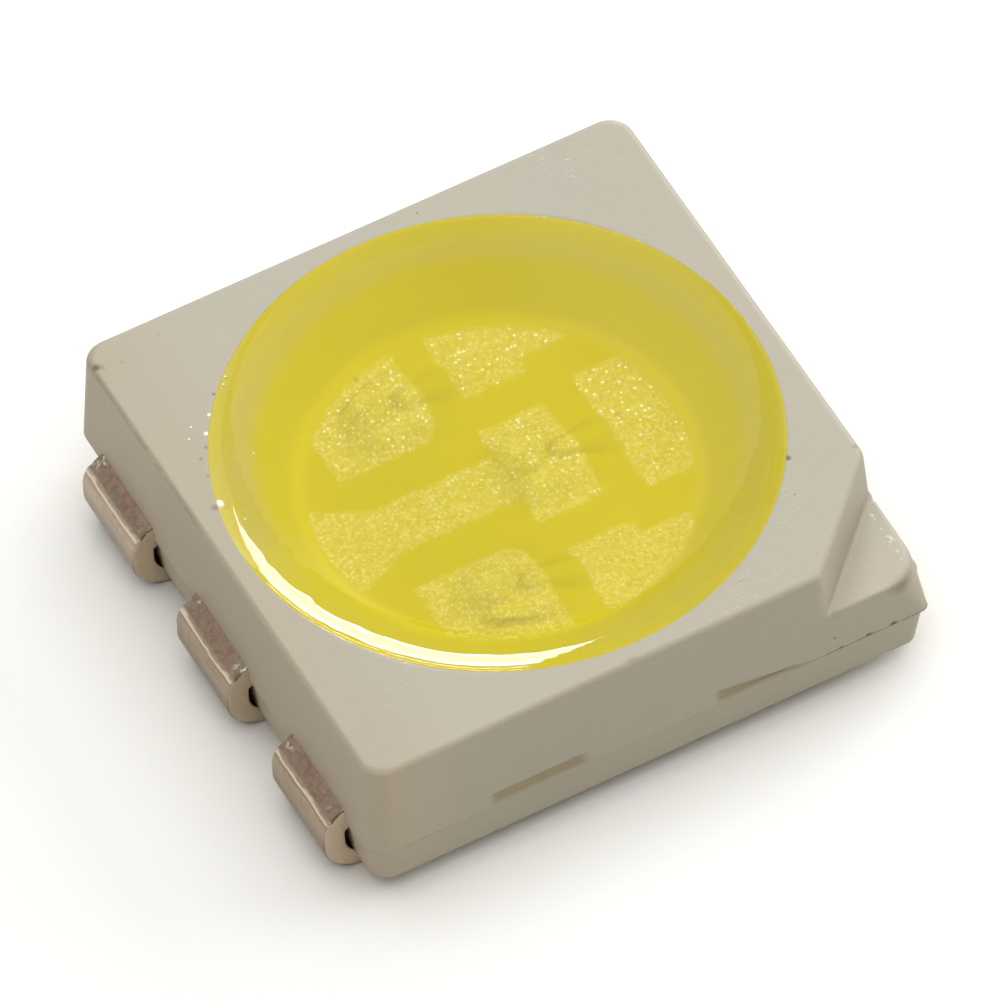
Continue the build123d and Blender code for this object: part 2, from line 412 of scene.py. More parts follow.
class BodyShape:
    """Rings of the moulded body, from the middle of its underside to the middle of the cup."""

    EDGE_TURNS = np.radians([0, 20, 40, 60, 80, 90])
    LOWER_RADII = [0.19 * MM, 0.11 * MM, 0.22 * MM, 0.80 * MM]
    LEDGE_RADII = (0.08 * MM, 0.32 * MM)
    WALL_HEIGHTS = np.linspace(0.66, 0.99, 20) * MM
    LEDGE_START = 1.01 * MM
    LEDGE_BLEND = (-0.02 * MM, 0.03 * MM)
    CUT_HEIGHTS = np.linspace(1.24, 1.52, 6) * MM
    CUT_SOFTNESS = 0.045 * MM
    RIM_EDGE = 0.002 * MM
    EJECTOR_PLACES = [(-1.2 * MM, 0), (1.2 * MM, 0)]
    EJECTOR_RADIUS = 0.35 * MM
    EJECTOR_DEPTH = 0.02 * MM

    def __init__(self, sizes, floor_radius):
        self.sizes = sizes
        self.floor_radius = floor_radius
        self.half = body_high.x
        self.cup_radius = gel_high.x
        self.cut_limit = 2 * self.half - sizes.corner_cut
        self.rings = []

    def add(self, flat, height):
        heights = np.broadcast_to(height, len(flat))
        self.rings.append(np.column_stack([flat, heights]))

    def past_cut(self, flat, height):
        """How far each point lies beyond the diagonal wall and the hollow at its foot."""
        sizes = self.sizes
        rise = min(max(height - sizes.ledge_height, 0), sizes.cut_foot)
        foot = sizes.cut_foot - math.sqrt(sizes.cut_foot**2 - (sizes.cut_foot - rise) ** 2)
        reach = foot + (body_high.z - height) * math.tan(sizes.cut_draft)
        return (flat[:, 0] - flat[:, 1] - self.cut_limit) / math.sqrt(2) - reach

    def cut_back(self, flat, height, share=1.0):
        """Move what lies beyond the diagonal wall back to it, with its two edges rounded."""
        past = self.past_cut(flat, height)
        soft = self.CUT_SOFTNESS
        push = np.where(past > soft, past, np.where(past < -soft, 0, (past + soft) ** 2 / (4 * soft)))
        return flat + (push * share / math.sqrt(2))[:, None] * np.array([-1, 1])

    def upper(self, height, inset=0.0):
        """Outline of the upper half without its cut, at a height."""
        sizes = self.sizes
        lean = (height - sizes.parting_height) * math.tan(sizes.draft)
        share = (height - sizes.parting_height) / (sizes.ledge_height - sizes.parting_height)
        ledge_radius = np.interp(share, (0, 1), self.LEDGE_RADII)
        radii = np.array([sizes.corner_radius, ledge_radius, sizes.corner_radius, sizes.corner_radius])
        return outline(self.half - lean - inset, radii - inset)

    def lower(self, height, inset=0.0):
        sizes = self.sizes
        fall = (sizes.parting_height - height) / (sizes.parting_height - body_low.z)
        back = sizes.parting_step + fall * (sizes.lower_inset - sizes.parting_step)
        return outline(self.half - back - inset, [radius - inset for radius in self.LOWER_RADII])

    def underside(self):
        edge = self.lower(body_low.z, self.sizes.lower_edge)
        for share in np.linspace(0.05, 1, 26):
            flat = edge * share
            depth = np.zeros(len(flat))
            for place in self.EJECTOR_PLACES:
                away = np.hypot(*(flat - np.array(place)).T)
                depth += smooth(away, self.EJECTOR_RADIUS + 0.04 * MM, self.EJECTOR_RADIUS)
            self.add(flat, body_low.z + depth * self.EJECTOR_DEPTH)

    def lower_half(self):
        sizes = self.sizes
        for turn in self.EDGE_TURNS[1:]:
            height = body_low.z + sizes.lower_edge * (1 - math.cos(turn))
            self.add(self.lower(height, sizes.lower_edge * (1 - math.sin(turn))), height)
        top = sizes.parting_height - 0.006 * MM
        for height in np.linspace(body_low.z + 0.05 * MM, top, 12):
            self.add(self.lower(height), height)
        self.add(self.upper(sizes.parting_height, 0.010 * MM), sizes.parting_height)

    def upper_half(self):
        """The drafted walls, with the ledge in the cut corner worked in between them."""
        sizes = self.sizes
        self.add(self.upper(sizes.parting_height), sizes.parting_height + 0.01 * MM)
        for height in self.WALL_HEIGHTS:
            self.add(self.upper(height), height)
        past = self.past_cut(self.upper(sizes.ledge_height), sizes.ledge_height)
        corner = smooth(past, *self.LEDGE_BLEND)
        for flat, height, even in self.ledge_steps():
            plain = self.upper(even)
            mixed = plain + corner[:, None] * (flat - plain)
            self.add(mixed, even + corner * (height - even))
        for share in (0.02, 0.08, 0.18, 0.32, 0.5, 0.75, 1.0):
            height = sizes.ledge_height + sizes.cut_foot * share
            self.add(self.cut_back(self.upper(height), height), height)
        edge = body_high.z - sizes.top_edge
        for height in [*self.CUT_HEIGHTS, edge - 0.01 * MM]:
            self.add(self.cut_back(self.upper(height), height), height)
        for turn in self.EDGE_TURNS:
            inset = sizes.top_edge * (1 - math.cos(turn))
            flat = self.cut_back(self.upper(edge), edge)
            self.add(flat * (1 - inset / self.half), edge + sizes.top_edge * math.sin(turn))

    def ledge_steps(self):
        """The ledge's rounded edge and its tread, each with its height on the plain walls."""
        sizes = self.sizes
        top = sizes.ledge_height
        block = self.upper(top)
        on_side = smooth(block[:, 0], self.half - 0.30 * MM, self.half - 0.06 * MM)
        on_side = on_side * smooth(-block[:, 1], 1.55 * MM, 2.25 * MM)
        rounding = sizes.ledge_edge + on_side * (sizes.ledge_side_edge - sizes.ledge_edge)
        steps = []
        for turn in self.EDGE_TURNS:
            flat = block * (1 - rounding * (1 - math.cos(turn)) / self.half)[:, None]
            steps.append((flat, top - rounding * (1 - math.sin(turn))))
        tread = steps[-1][0]
        for share in (0.1, 0.3, 0.5, 0.7, 0.85, 0.95, 1.0):
            steps.append((self.cut_back(tread, top, share), top))
        evens = np.linspace(self.LEDGE_START, top, len(steps))
        return [(flat, height, even) for (flat, height), even in zip(steps, evens)]

    def cup(self):
        flat = self.rings[-1][:, :2]
        round_way = ways(np.arctan2(flat[:, 1], flat[:, 0]))
        rim = round_way * (self.cup_radius + self.RIM_EDGE)
        for share in (0.04, 0.1, 0.2, 0.35, 0.5, 0.65, 0.8, 0.9, 0.96, 1.0):
            self.add(flat + share * (rim - flat), body_high.z)
        for turn in np.radians([30, 60]):
            radius = self.cup_radius + self.RIM_EDGE * (1 - math.sin(turn))
            self.add(round_way * radius, body_high.z - self.RIM_EDGE * (1 - math.cos(turn)))
        for share in (0.02, 0.1, 0.3, 0.6, 0.9, 1.0):
            radius = self.cup_radius + share * (self.floor_radius - self.cup_radius)
            self.add(round_way * radius, body_high.z + share * (gel_low.z - body_high.z))
        for share in (0.95, 0.6, 0.3, 0.05):
            self.add(round_way * self.floor_radius * share, gel_low.z)

    def press_slits(self):
        """Sink the slits of the tie bars into the front and back walls, and the nicks into edges."""
        for ring in self.rings:
            x, y, z = ring.T
            wall = smooth(np.abs(y), self.half - 0.1 * MM, self.half - 0.05 * MM)
            depth = wall * slit_mask(x / MM, z / MM, smooth)
            ring[:, 1] -= np.sign(y) * depth * self.sizes.slit_depth
            for place, radius, sink in NICKS:
                away = np.linalg.norm(ring - np.array(place) * MM, axis=1)
                dent = sink * MM * smooth(away, radius * MM, 0)
                inward = -ring / np.linalg.norm(ring, axis=1)[:, None]
                ring += inward * dent[:, None]

    def make(self):
        self.underside()
        self.lower_half()
        self.upper_half()
        self.cup()
        self.press_slits()
        return self.rings


# Where the body's edges are nicked: place, radius and depth in millimetres
NICKS = [((-0.14, -2.45, 1.6), 0.07, 0.022), ((-2.41, 2.23, 1.6), 0.05, 0.03)]


def slit_mask(x, z, soft_step):
    """1 in the two slits of a wall. The one nearer the cut corner is a wedge."""
    left = soft_step(x, -1.47, -1.38) * soft_step(x, -0.57, -0.65) * soft_step(z, 0.80, 0.76)
    right = soft_step(x, 0.54, 0.63) * soft_step(x, 1.50, 1.36) * soft_step(z + x * 0.153, 0.897, 0.857)
    return (left + right) * soft_step(z, 0.652, 0.684)


# Height of the top face, and the dark specks on it: x, y, radius in millimetres, and how dark. The speck at
# -2.24, 0.515 is a painted shadow under the big rim bead
TOP = 1.6
SPECKS = [
    (1.34, 1.80, 0.030, 0.75), (1.32, 1.81, 0.018, 0.6), (1.84, 1.27, 0.018, 0.6),
    (1.90, -1.29, 0.024, 0.85), (-2.02, 1.08, 0.016, 0.6), (-2.11, 1.00, 0.015, 0.45), (-1.72, 1.52, 0.014, 0.7),
    (-2.14, 0.82, 0.014, 0.4), (-2.24, 0.515, 0.030, 0.5), (-2.41, 2.22, 0.030, 0.8),
    (2.42, -1.45, 0.025, 0.4), (-2.20, 2.16, 0.012, 0.3), (1.77, -1.63, 0.012, 0.35),
]
# Painted highlights on the top face, small gleaming spots: x, y and radius in millimetres
GLEAMS = [(-1.848, 1.357, 0.015), (-1.958, 1.203, 0.017), (-2.03, 1.32, 0.008), (-2.10, 1.22, 0.008)]
# Dirt in the parting line, and soft dark smudges below the ledge's front edge: x, y, z, radius, how dark and how
# soft
DARK_SPOTS = [
    (2.16, -2.5, 0.652, 0.034, 0.9, 0.5), (1.937, -2.5, 0.652, 0.030, 0.9, 0.5),
    (1.69, -2.5, 0.650, 0.024, 0.75, 0.5), (2.28, -2.47, 1.06, 0.060, 0.45, 0.95),
    (2.20, -2.49, 1.07, 0.055, 0.25, 0.95), (2.37, -2.42, 1.08, 0.055, 0.25, 0.95),
]


def plastic_material():
    """Glass-filled white moulding: fine grain, cloudy tone, scuffs, specks and slits, with painted light and
    shade on the left side, along the parting step and under the bends, and painted highlights on the top and the
    ledge.
    """
    colours = settings().colours
    paint = Paint("moulded_plastic")
    x, y, z = paint.x, paint.y, paint.z
    fine = paint.grain(45.0, 2.0, 0.7)
    colour = paint.shaded(paint.grain(0.7, 3.0, 0.6), colours.plastic, 0.97, 1.03)
    colour = paint.tint(paint.ramp(fine, 0.35, 0.7) * 0.5, colour, (0.94, 0.93, 0.92))
    # Cool clouds on the top; painted light and shade on the left: a darker, warmer top, and a warmer wall that
    # is lighter towards the back
    top = paint.ramp(z, 1.585, 1.595)
    walls = 1 - top
    cool = paint.patches(0.5, 0.68, 0.45, 1.0, 0.5, paint.stretched(1, 1.6, 1)) * top
    left_painted_light = paint.ramp(x, -1.5, -2.3)
    colour = paint.tint(cool * 0.6, colour, (0.95, 0.99, 1.03))
    colour = paint.tint(left_painted_light * top, colour, (0.96, 0.93, 0.89))
    colour = paint.tint(left_painted_light * walls, colour, (1.07, 1.0, 0.965))
    colour = paint.tint(left_painted_light * walls * paint.ramp(y, 0.2, 2.0), colour, (1.07, 1.09, 1.10))
    streak = paint.patches(0.55, 0.72, 14.0, 3.0, 0.6, paint.stretched(0.12, 0.12, 1))
    colour = paint.tint(streak * walls * 0.25, colour, (0.93, 0.92, 0.91))
    # Tie bars; dirt in the parting line, with painted shade along its step on the left; dirt along the left rim;
    # and painted shade under the bends
    slit = slit_mask(x, z, paint.ramp) * paint.ramp(abs(y), 2.36, 2.40)
    colour = paint.mix(slit * (paint.grain(9.0, 3.0, 0.6) * 0.3 + 0.66), colour, colours.tie_bar)
    seam = paint.between(z + paint.grain(3.0, 3.0, 0.6) * 0.016, 0.634, 0.668, 0.004)
    # Painted shade along the parting step on the left; dirt in the parting line on the right
    step_shade = paint.ramp(x, -1.40, -1.50) * paint.patches(0.42, 0.62, 2.2, 3.0, 0.6)
    dirty = paint.ramp(x, 1.15, 1.40) * (paint.patches(0.36, 0.6, 5.0, 3.0, 0.7) * 0.6 + 0.4)
    colour = paint.tint(seam * step_shade * 0.6, colour, (0.72, 0.66, 0.60))
    colour = paint.tint(seam * dirty * 0.9, colour, (0.30, 0.22, 0.15))
    rim_dirt = paint.between(z, 1.572, 1.594, 0.006) * paint.ramp(x, -2.38, -2.41)
    rim_dirt = rim_dirt * paint.ramp(y, 0.2, 0.5) * paint.patches(0.34, 0.56, 4.0, 3.0, 0.6)
    colour = paint.tint(rim_dirt * 0.4, colour, (0.50, 0.40, 0.33))
    # Painted shade: the lower walls under the terminals' bends nearly black
    under_bend_shade = paint.ramp(paint.zigzag(y, 0.8), 0.52, 0.44)
    under_bend_shade = under_bend_shade * paint.ramp(abs(x), 2.26, 2.34) * paint.ramp(z, 0.62, 0.58)
    colour = paint.mix(under_bend_shade * 0.85, colour, (0.10, 0.055, 0.025))
    # Dark specks, one of them a painted shadow under the big rim bead
    for *place, radius, dark in SPECKS:
        colour = paint.mix(paint.spot((*place, TOP), radius) * dark, colour, colours.grime_and_shade)
    # Painted highlights of the small gleaming spots
    for *place, radius in GLEAMS:
        colour = paint.mix(paint.spot((*place, TOP), radius) * 0.9, colour, (0.92, 0.90, 0.78))
    for *place, radius, dark, soft in DARK_SPOTS:
        colour = paint.mix(paint.spot(place, radius, soft) * dark, colour, colours.grime_and_shade)
    chance, away = paint.cells(5.5)
    fleck = paint.ramp(chance, 0.965, 0.975) * paint.ramp(away, 0.10, 0.05)
    colour = paint.tint(fleck * 0.7, colour, (0.45, 0.40, 0.36))
    # Scratches on the top, and painted glitter highlights along the ledge's right edge
    scratch = paint.patches(0.60, 0.70, 30.0, 2.0, 0.5, paint.stretched(0.25, 1, 1))
    scratch = scratch * paint.patches(0.54, 0.66, 1.1, 1.0, 0.5) * top
    _, away = paint.cells(20.0)
    glitter = paint.ramp(away, 0.42, 0.20) * paint.between(x, 2.365, 2.415, 0.01)
    glitter = glitter * paint.between(y, -2.32, -1.72, 0.05) * paint.between(z, 1.04, 1.12, 0.01)
    colour = paint.mix(glitter * 0.4, colour, (0.85, 0.82, 0.74))
    relief = fine * 0.25 + scratch * 0.15 + paint.grain(6.0, 3.0, 0.6) * 0.3
    return paint.finish(paint.principled(
        base_color=colour, roughness=0.62 - scratch * 0.35, ior=1.5, normal=paint.bump(relief, 0.006)))


class LED_OT_housing(bpy.types.Operator):
    """Build the moulded body with its cup, ledge and slits"""

    bl_idname = "led.housing"
    bl_label = "Housing"

    def execute(self, context):
        sizes = settings()
        rings = BodyShape(sizes.body, sizes.cup.floor_radius).make()
        build("housing_moulding", rings, plastic_material(), ["housing"])
        return {"FINISHED"}


AROUND = 480
BEARINGS = np.arange(AROUND) / AROUND * 2 * math.pi
ROUND_WAY = ways(BEARINGS)


def round_ring(radius, height):
    """A ring of the cup: one radius, and a height that may differ round it."""
    heights = np.broadcast_to(height, AROUND)
    return np.column_stack([ROUND_WAY * radius, heights])


def cup_wall(share, inset):
    """Radius and height on the cup's wall, inset from it, from the floor at 0 to the rim at 1."""
    floor = settings().cup.floor_radius
    run, rise = gel_high.x - floor, gel_high.z - gel_low.z
    slant = math.hypot(run, rise)
    radius = floor + share * run - inset * rise / slant
    return radius, gel_low.z + share * rise + inset * run / slant


# How the settled phosphor lies over the dies and wires: its slopes' reach, and its cover
DIE_MARGIN = 0.02 * MM
DIE_SLOPE = 0.28 * MM
WIRE_SLOPE = (0.24 * MM, 0.03 * MM)
WIRE_COVER = 0.012 * MM


def die_bumps(flat):
    """How far the phosphor rises over the three dies."""
    rise = np.zeros(len(flat))
    for number in (1, 2, 3):
        low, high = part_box(f"led_chip_{number}")
        middle = np.array([(low.x + high.x) / 2, (low.y + high.y) / 2])
        reach = (high.x - low.x) / 2 + DIE_MARGIN
        away = np.linalg.norm((np.abs(flat - middle) - reach).clip(0), axis=1)
        rise = np.maximum(rise, (high.z - gel_low.z) * smooth(away, DIE_SLOPE, 0))
    return rise


def wire_bumps(flat, crests, base):
    """How far the phosphor rises over the bond wires."""
    away = np.linalg.norm(flat[:, None] - crests[None, :, :2], axis=2)
    rise = (crests[:, 2] + WIRE_COVER - base) * smooth(away, *WIRE_SLOPE)
    return rise.max(axis=1).clip(0)


def phosphor_rings():
    """The settled phosphor: a thin closed layer on the cup's floor and wall."""
    thickness = settings().cup.film_thickness
    floor = settings().cup.floor_radius
    backing = 0.002 * MM
    buried = -0.001 * MM
    rings = []
    foot, rim = np.array(cup_wall(0, thickness)), np.array(cup_wall(1, thickness))
    corner_share = (gel_low.z + thickness - foot[1]) / (rim[1] - foot[1])
    corner = foot + corner_share * (rim - foot)
    reach = 0.16 * MM
    crests = np.array([(*ring.mean(0)[:2], ring[:, 2].max()) for _, wire in wires() for ring in wire])
    for radius in np.linspace(0.02 * MM, corner[0] - reach, 52):
        ring = round_ring(radius, corner[1])
        ring[:, 2] += np.maximum(die_bumps(ring[:, :2]), wire_bumps(ring[:, :2], crests, corner[1]))
        rings.append(ring)
    upward = (rim - foot) / np.linalg.norm(rim - foot)
    for turn in np.linspace(-1, 1, 12)[1:-1]:
        curve = (1 + turn) ** 2 * upward - (1 - turn) ** 2 * np.array([1, 0])
        rings.append(round_ring(*(corner + reach / 4 * curve)))
    start = corner_share + reach / np.linalg.norm(rim - foot)
    for share in np.linspace(start, 1, 30):
        radius, height = cup_wall(share, thickness * min(1, 5 * (1 - share)))
        rings.append(round_ring(radius, min(height, gel_high.z)))
    for share in (0.995, 0.7, 0.4, 0.02):
        rings.append(round_ring(*cup_wall(share, buried)))
    for share in (0.9, 0.5, 0.1):
        rings.append(round_ring(floor * share, gel_low.z + backing))
    return rings


def pad_mask(paint, shift=0.0):
    """1 over the plated pads in the cup's floor, which show paler through the phosphor."""
    soft = 0.035
    sway = paint.grain(5.0, 2.0, 0.5) * 0.08 - 0.04
    x, y = paint.x + sway + shift, abs(paint.y + sway * 0.7 + shift)
    die_pad = paint.between(x, -1.10, -0.17, soft) * paint.ramp(y, 0.61 - soft, 0.61 + soft)
    die_pad = die_pad * paint.ramp(y - x, 0.91 - soft, 0.91 + soft)
    centre_block = paint.between(x, 0.08, 0.67, soft) * paint.ramp(y, 0.51 + soft, 0.51 - soft)
    flare = paint.node("ShaderNodeClamp", {}, {"Value": (x + 1.0) * -2.0}) * 0.235 + 0.235
    arm = paint.ramp(y - flare, soft, -soft) * paint.ramp(x, 0.08 + soft, 0.08 - soft)
    right = paint.ramp(x, 1.0 - soft, 1.0 + soft) * paint.ramp(y, 0.635 + soft, 0.635 - soft)
    bond = paint.between(x, 0.14, 0.72, soft) * paint.ramp(y, 0.86 - soft, 0.86 + soft)
    bond_step = paint.between(x, 0.70, 1.15, soft) * paint.ramp(y, 1.0 - soft, 1.0 + soft)
    return paint.larger(die_pad, centre_block, arm, right, bond, bond_step)


# Soft dark marks where the dies sit, small ones at the feet of the wires, and one speck
DIE_MARKS = [(-0.41, 1.10, 0.92), (0.50, 0.06, 0.92), (-0.33, -0.99, 0.92)]
WIRE_MARKS = [
    (-0.80, 0.93, 0.82), (0.05, 0.0, 0.82), (-0.71, -0.97, 0.82), (0.28, 1.12, 0.82), (1.13, 0.1, 0.82),
]
GREY_SPECK = (-0.51, 1.46, 0.82)


def towards_front(paint):
    """How far a place lies from the cup's axis towards the camera."""
    return paint.x * -0.42 + paint.y * -0.91


def phosphor_material():
    """Yellow phosphor: deep in the gaps, paler over the pads, with painted sparkles and painted light and shade.
    """
    colours = settings().colours
    paint = Paint("phosphor")
    x, y, radius = paint.x, paint.y, paint.from_axis()
    colour = paint.shaded(paint.grain(1.2, 3.0, 0.6), colours.phosphor, 0.96, 1.04)
    # Painted light: the phosphor on the cup's front and right wall lighter
    near = paint.larger(paint.ramp(towards_front(paint), 0.2, 1.0), paint.ramp(x, 0.6, 1.6) * 0.8)
    colour = paint.mix(near * paint.ramp(radius, 1.50, 1.62), colour, colours.near_wall_painted_light)
    pads = pad_mask(paint) * paint.ramp(radius + paint.ramp(y, -0.6, -1.2) * -0.08, 1.58, 1.50)
    patchy = paint.patches(0.30, 0.62, 3.5, 4.0, 0.7) * 0.35 + 0.65
    colour = paint.mix(pads * patchy, colour, colours.pad)
    # Painted shade: the phosphor on the floor darker than on the wall, most on the left
    across = paint.mix(paint.ramp(x, -1.3, 1.3), (0.865, 0.87, 0.92), (0.97, 0.965, 0.98))
    colour = paint.tint(paint.ramp(radius, 1.64, 1.46), colour, across)
    # Grain over the pads: dull and pale patches, fine dots, and painted sparkle highlights, more towards the
    # back right
    dull = paint.patches(0.44, 0.60, 24.0, 3.0, 0.8) * pads
    colour = paint.tint(dull * 0.45, colour, (0.84, 0.81, 0.50))
    pale = paint.patches(0.50, 0.66, 26.0, 3.0, 0.7) * pads
    colour = paint.mix(pale * 0.25, colour, (0.84, 0.77, 0.25))
    chance, away = paint.cells(33.0)
    dots = paint.ramp(chance, 0.30, 0.90) * paint.ramp(away, 0.62, 0.25) * pads
    colour = paint.mix(dots * 0.26, colour, (0.90, 0.84, 0.40))
    chance, away = paint.cells(26.0)
    edge = pads * (1 - pad_mask(paint, 0.09)) * paint.patches(0.45, 0.60, 6.0, 2.0, 0.6)
    glint_side = paint.ramp(x * 0.6 + y * 0.8, -0.7, 0.9)
    # Painted highlights: sparkles over the pads and along their edges
    bright = paint.larger(
        paint.ramp(chance, 0.78, 0.90) * pads * (glint_side * 0.7 + 0.1),
        glint_side * edge * paint.ramp(chance, 0.40, 0.60))
    colour = paint.mix(bright * paint.ramp(away, 0.48, 0.22), colour, (0.95, 0.90, 0.55))
    for place in DIE_MARKS:
        mark = paint.spot(place, 0.13, 0.6) * paint.patches(0.30, 0.60, 11.0)
        colour = paint.tint(mark * 0.35, colour, (0.78, 0.76, 0.45))
    for place in WIRE_MARKS:
        colour = paint.tint(paint.spot(place, 0.035, 0.6) * 0.6, colour, (0.66, 0.56, 0.3))
    colour = paint.tint(paint.spot(GREY_SPECK, 0.03, 0.6) * 0.6, colour, (0.55, 0.55, 0.9))
    # Painted shade: a thin darker ring near the rim
    line = paint.between(radius, 2.165, 2.185, 0.02)
    colour = paint.tint(line * 0.4, colour, (0.88, 0.86, 0.80))
    relief = paint.grain(30.0, 3.0, 0.7) * pads
    return paint.finish(paint.principled(
        base_color=colour, roughness=0.8, specular_ior_level=0.0,
        normal=paint.bump(relief, 0.010, paint.upward())))


class LED_OT_phosphor(bpy.types.Operator):
    """Build the phosphor that has settled on the cup's floor and wall"""

    bl_idname = "led.phosphor"
    bl_label = "Phosphor"

    def execute(self, context):
        build("phosphor_layer", phosphor_rings(), phosphor_material(), ["encapsulant"])
        return {"FINISHED"}


# The silicone's surface is more uneven along the left of the rim.
DEGREES = np.degrees(BEARINGS)
RAGGED = 1 + 1.5 * smooth(DEGREES, 170, 185) * smooth(DEGREES, 222, 208)
WAVE_DEPTH = 0.0014 * MM


def gel_surface(radius):
    """Height of the silicone's surface at a distance from the middle."""
    cup = settings().cup
    fall = 1 - math.exp((min(radius, gel_high.x) - gel_high.x) / cup.meniscus_reach)
    return gel_high.z - cup.meniscus_height * fall


def gel_rings():
    """The clear silicone: a dished top that climbs the rim, and the cup's form below."""
    cup = settings().cup
    rim = gel_high.x
    middle = np.linspace(0.05, 1.7, 18) * MM
    meniscus = rim - np.linspace(0.55 * MM, 0.012 * MM, 45)
    rings = []
    for radius in [*middle, *meniscus, rim - 0.001 * MM, rim]:
        climb = math.exp((radius - rim) / cup.meniscus_reach)
        ring = round_ring(radius, gel_surface(radius))
        wave = rough(ring, 3.0, 5.0) * 0.5 + rough(ring, 9.0, 9.0) * 0.5 * RAGGED
        ring[:, 2] -= WAVE_DEPTH * climb * (1 - climb) * 4 * (wave + 0.5).clip(0)
        rings.append(ring)
    for share in (0.97, 0.8, 0.5, 0.2, 0.0):
        rings.append(round_ring(*cup_wall(share, 0.0005 * MM)))
    for share in (0.8, 0.4, 0.05):
        rings.append(round_ring(cup.floor_radius * share, gel_low.z + 0.0005 * MM))
    return rings


def gel_material():
    """Clear silicone with a hazy ring. Scattered light goes straight through it to the phosphor."""
    paint = Paint("silicone")
    glass = paint.principled(
        base_color=(1.0, 0.985, 0.93), roughness=0.03, ior=1.41, transmission_weight=1.0,
        specular_tint=(0.45, 0.45, 0.45))
    clear = paint.node("ShaderNodeBsdfTransparent", {}, {"Color": (1.0, 0.99, 0.95, 1.0)})
    path = paint.node("ShaderNodeLightPath", {}, {}, "Is Shadow Ray")
    scattered = Value(paint, path.socket.node.outputs["Is Diffuse Ray"])
    passing = paint.larger(path, scattered)
    haze = paint.principled(base_color=settings().colours.haze, roughness=0.9, specular_ior_level=0.0)
    radius = paint.from_axis()
    near = paint.ramp(towards_front(paint), 0.6, 1.4)
    ring = paint.ramp(radius, 1.84, 2.02) * (1 - paint.ramp(radius, 2.10, 2.17) * 0.3)
    ring = ring * paint.ramp(paint.z, 1.40, 1.45)
    ring = ring * (paint.ramp(paint.x, -0.5, -2.0) * 0.10 + 0.10) * (paint.grain(3.0, 3.0, 0.6) + 0.5)
    ring = ring * (1 - near * paint.ramp(paint.x, 0.4, -0.8) * 0.8)
    surface = paint.node("ShaderNodeMixShader", {}, {0: ring, 1: glass, 2: haze})
    return paint.finish(paint.node("ShaderNodeMixShader", {}, {0: passing, 1: surface, 2: clear}))


# Small blobs of silicone on the rim: bearing in degrees, radius from the middle, blob radius
BEADS = [
    (166.0, 2.262, 0.048), (133.5, 2.262, 0.012), (135.4, 2.252, 0.011), (170.4, 2.097, 0.010),
    (151.8, 1.924, 0.009),
]
BEAD_FLATNESS = 0.75
BEAD_STEPS = 28


class LED_OT_encapsulant(bpy.types.Operator):
    """Build the clear silicone over the phosphor, and the blobs it left on the rim"""

    bl_idname = "led.encapsulant"
    bl_label = "Silicone"

    def execute(self, context):
        build("silicone_fill", gel_rings(), gel_material(), ["encapsulant"])
        material = bead_material()
        for number, (bearing, reach, size) in enumerate(BEADS, start=1):
            half_height = BEAD_FLATNESS * size * MM
            height = min(gel_surface(reach * MM) - half_height / 2, body_high.z - half_height)
            middle = (*(reach * MM * ways(math.radians(bearing))), height)
            build(f"rim_bead_{number}", bead_rings(middle, size * MM), material, [])
        return {"FINISHED"}


def bead_rings(middle, radius):
    """A small flattened blob."""
    circle = ways(np.arange(BEAD_STEPS) / BEAD_STEPS * 2 * math.pi)
    rings = []
    for turn in np.linspace(0.02, 0.98, 14) * math.pi:
        height = np.full(BEAD_STEPS, -BEAD_FLATNESS * radius * math.cos(turn))
        rings.append(np.column_stack([radius * math.sin(turn) * circle, height]) + middle)
    return rings


def bead_material():
    """Milky silicone with a hard shine."""
    paint = Paint("silicone_bead")
    colour = paint.mix(paint.grain(20.0), (0.80, 0.76, 0.60), (0.90, 0.88, 0.74))
    return paint.finish(paint.principled(base_color=colour, roughness=0.12, ior=1.41, coat_weight=0.6))


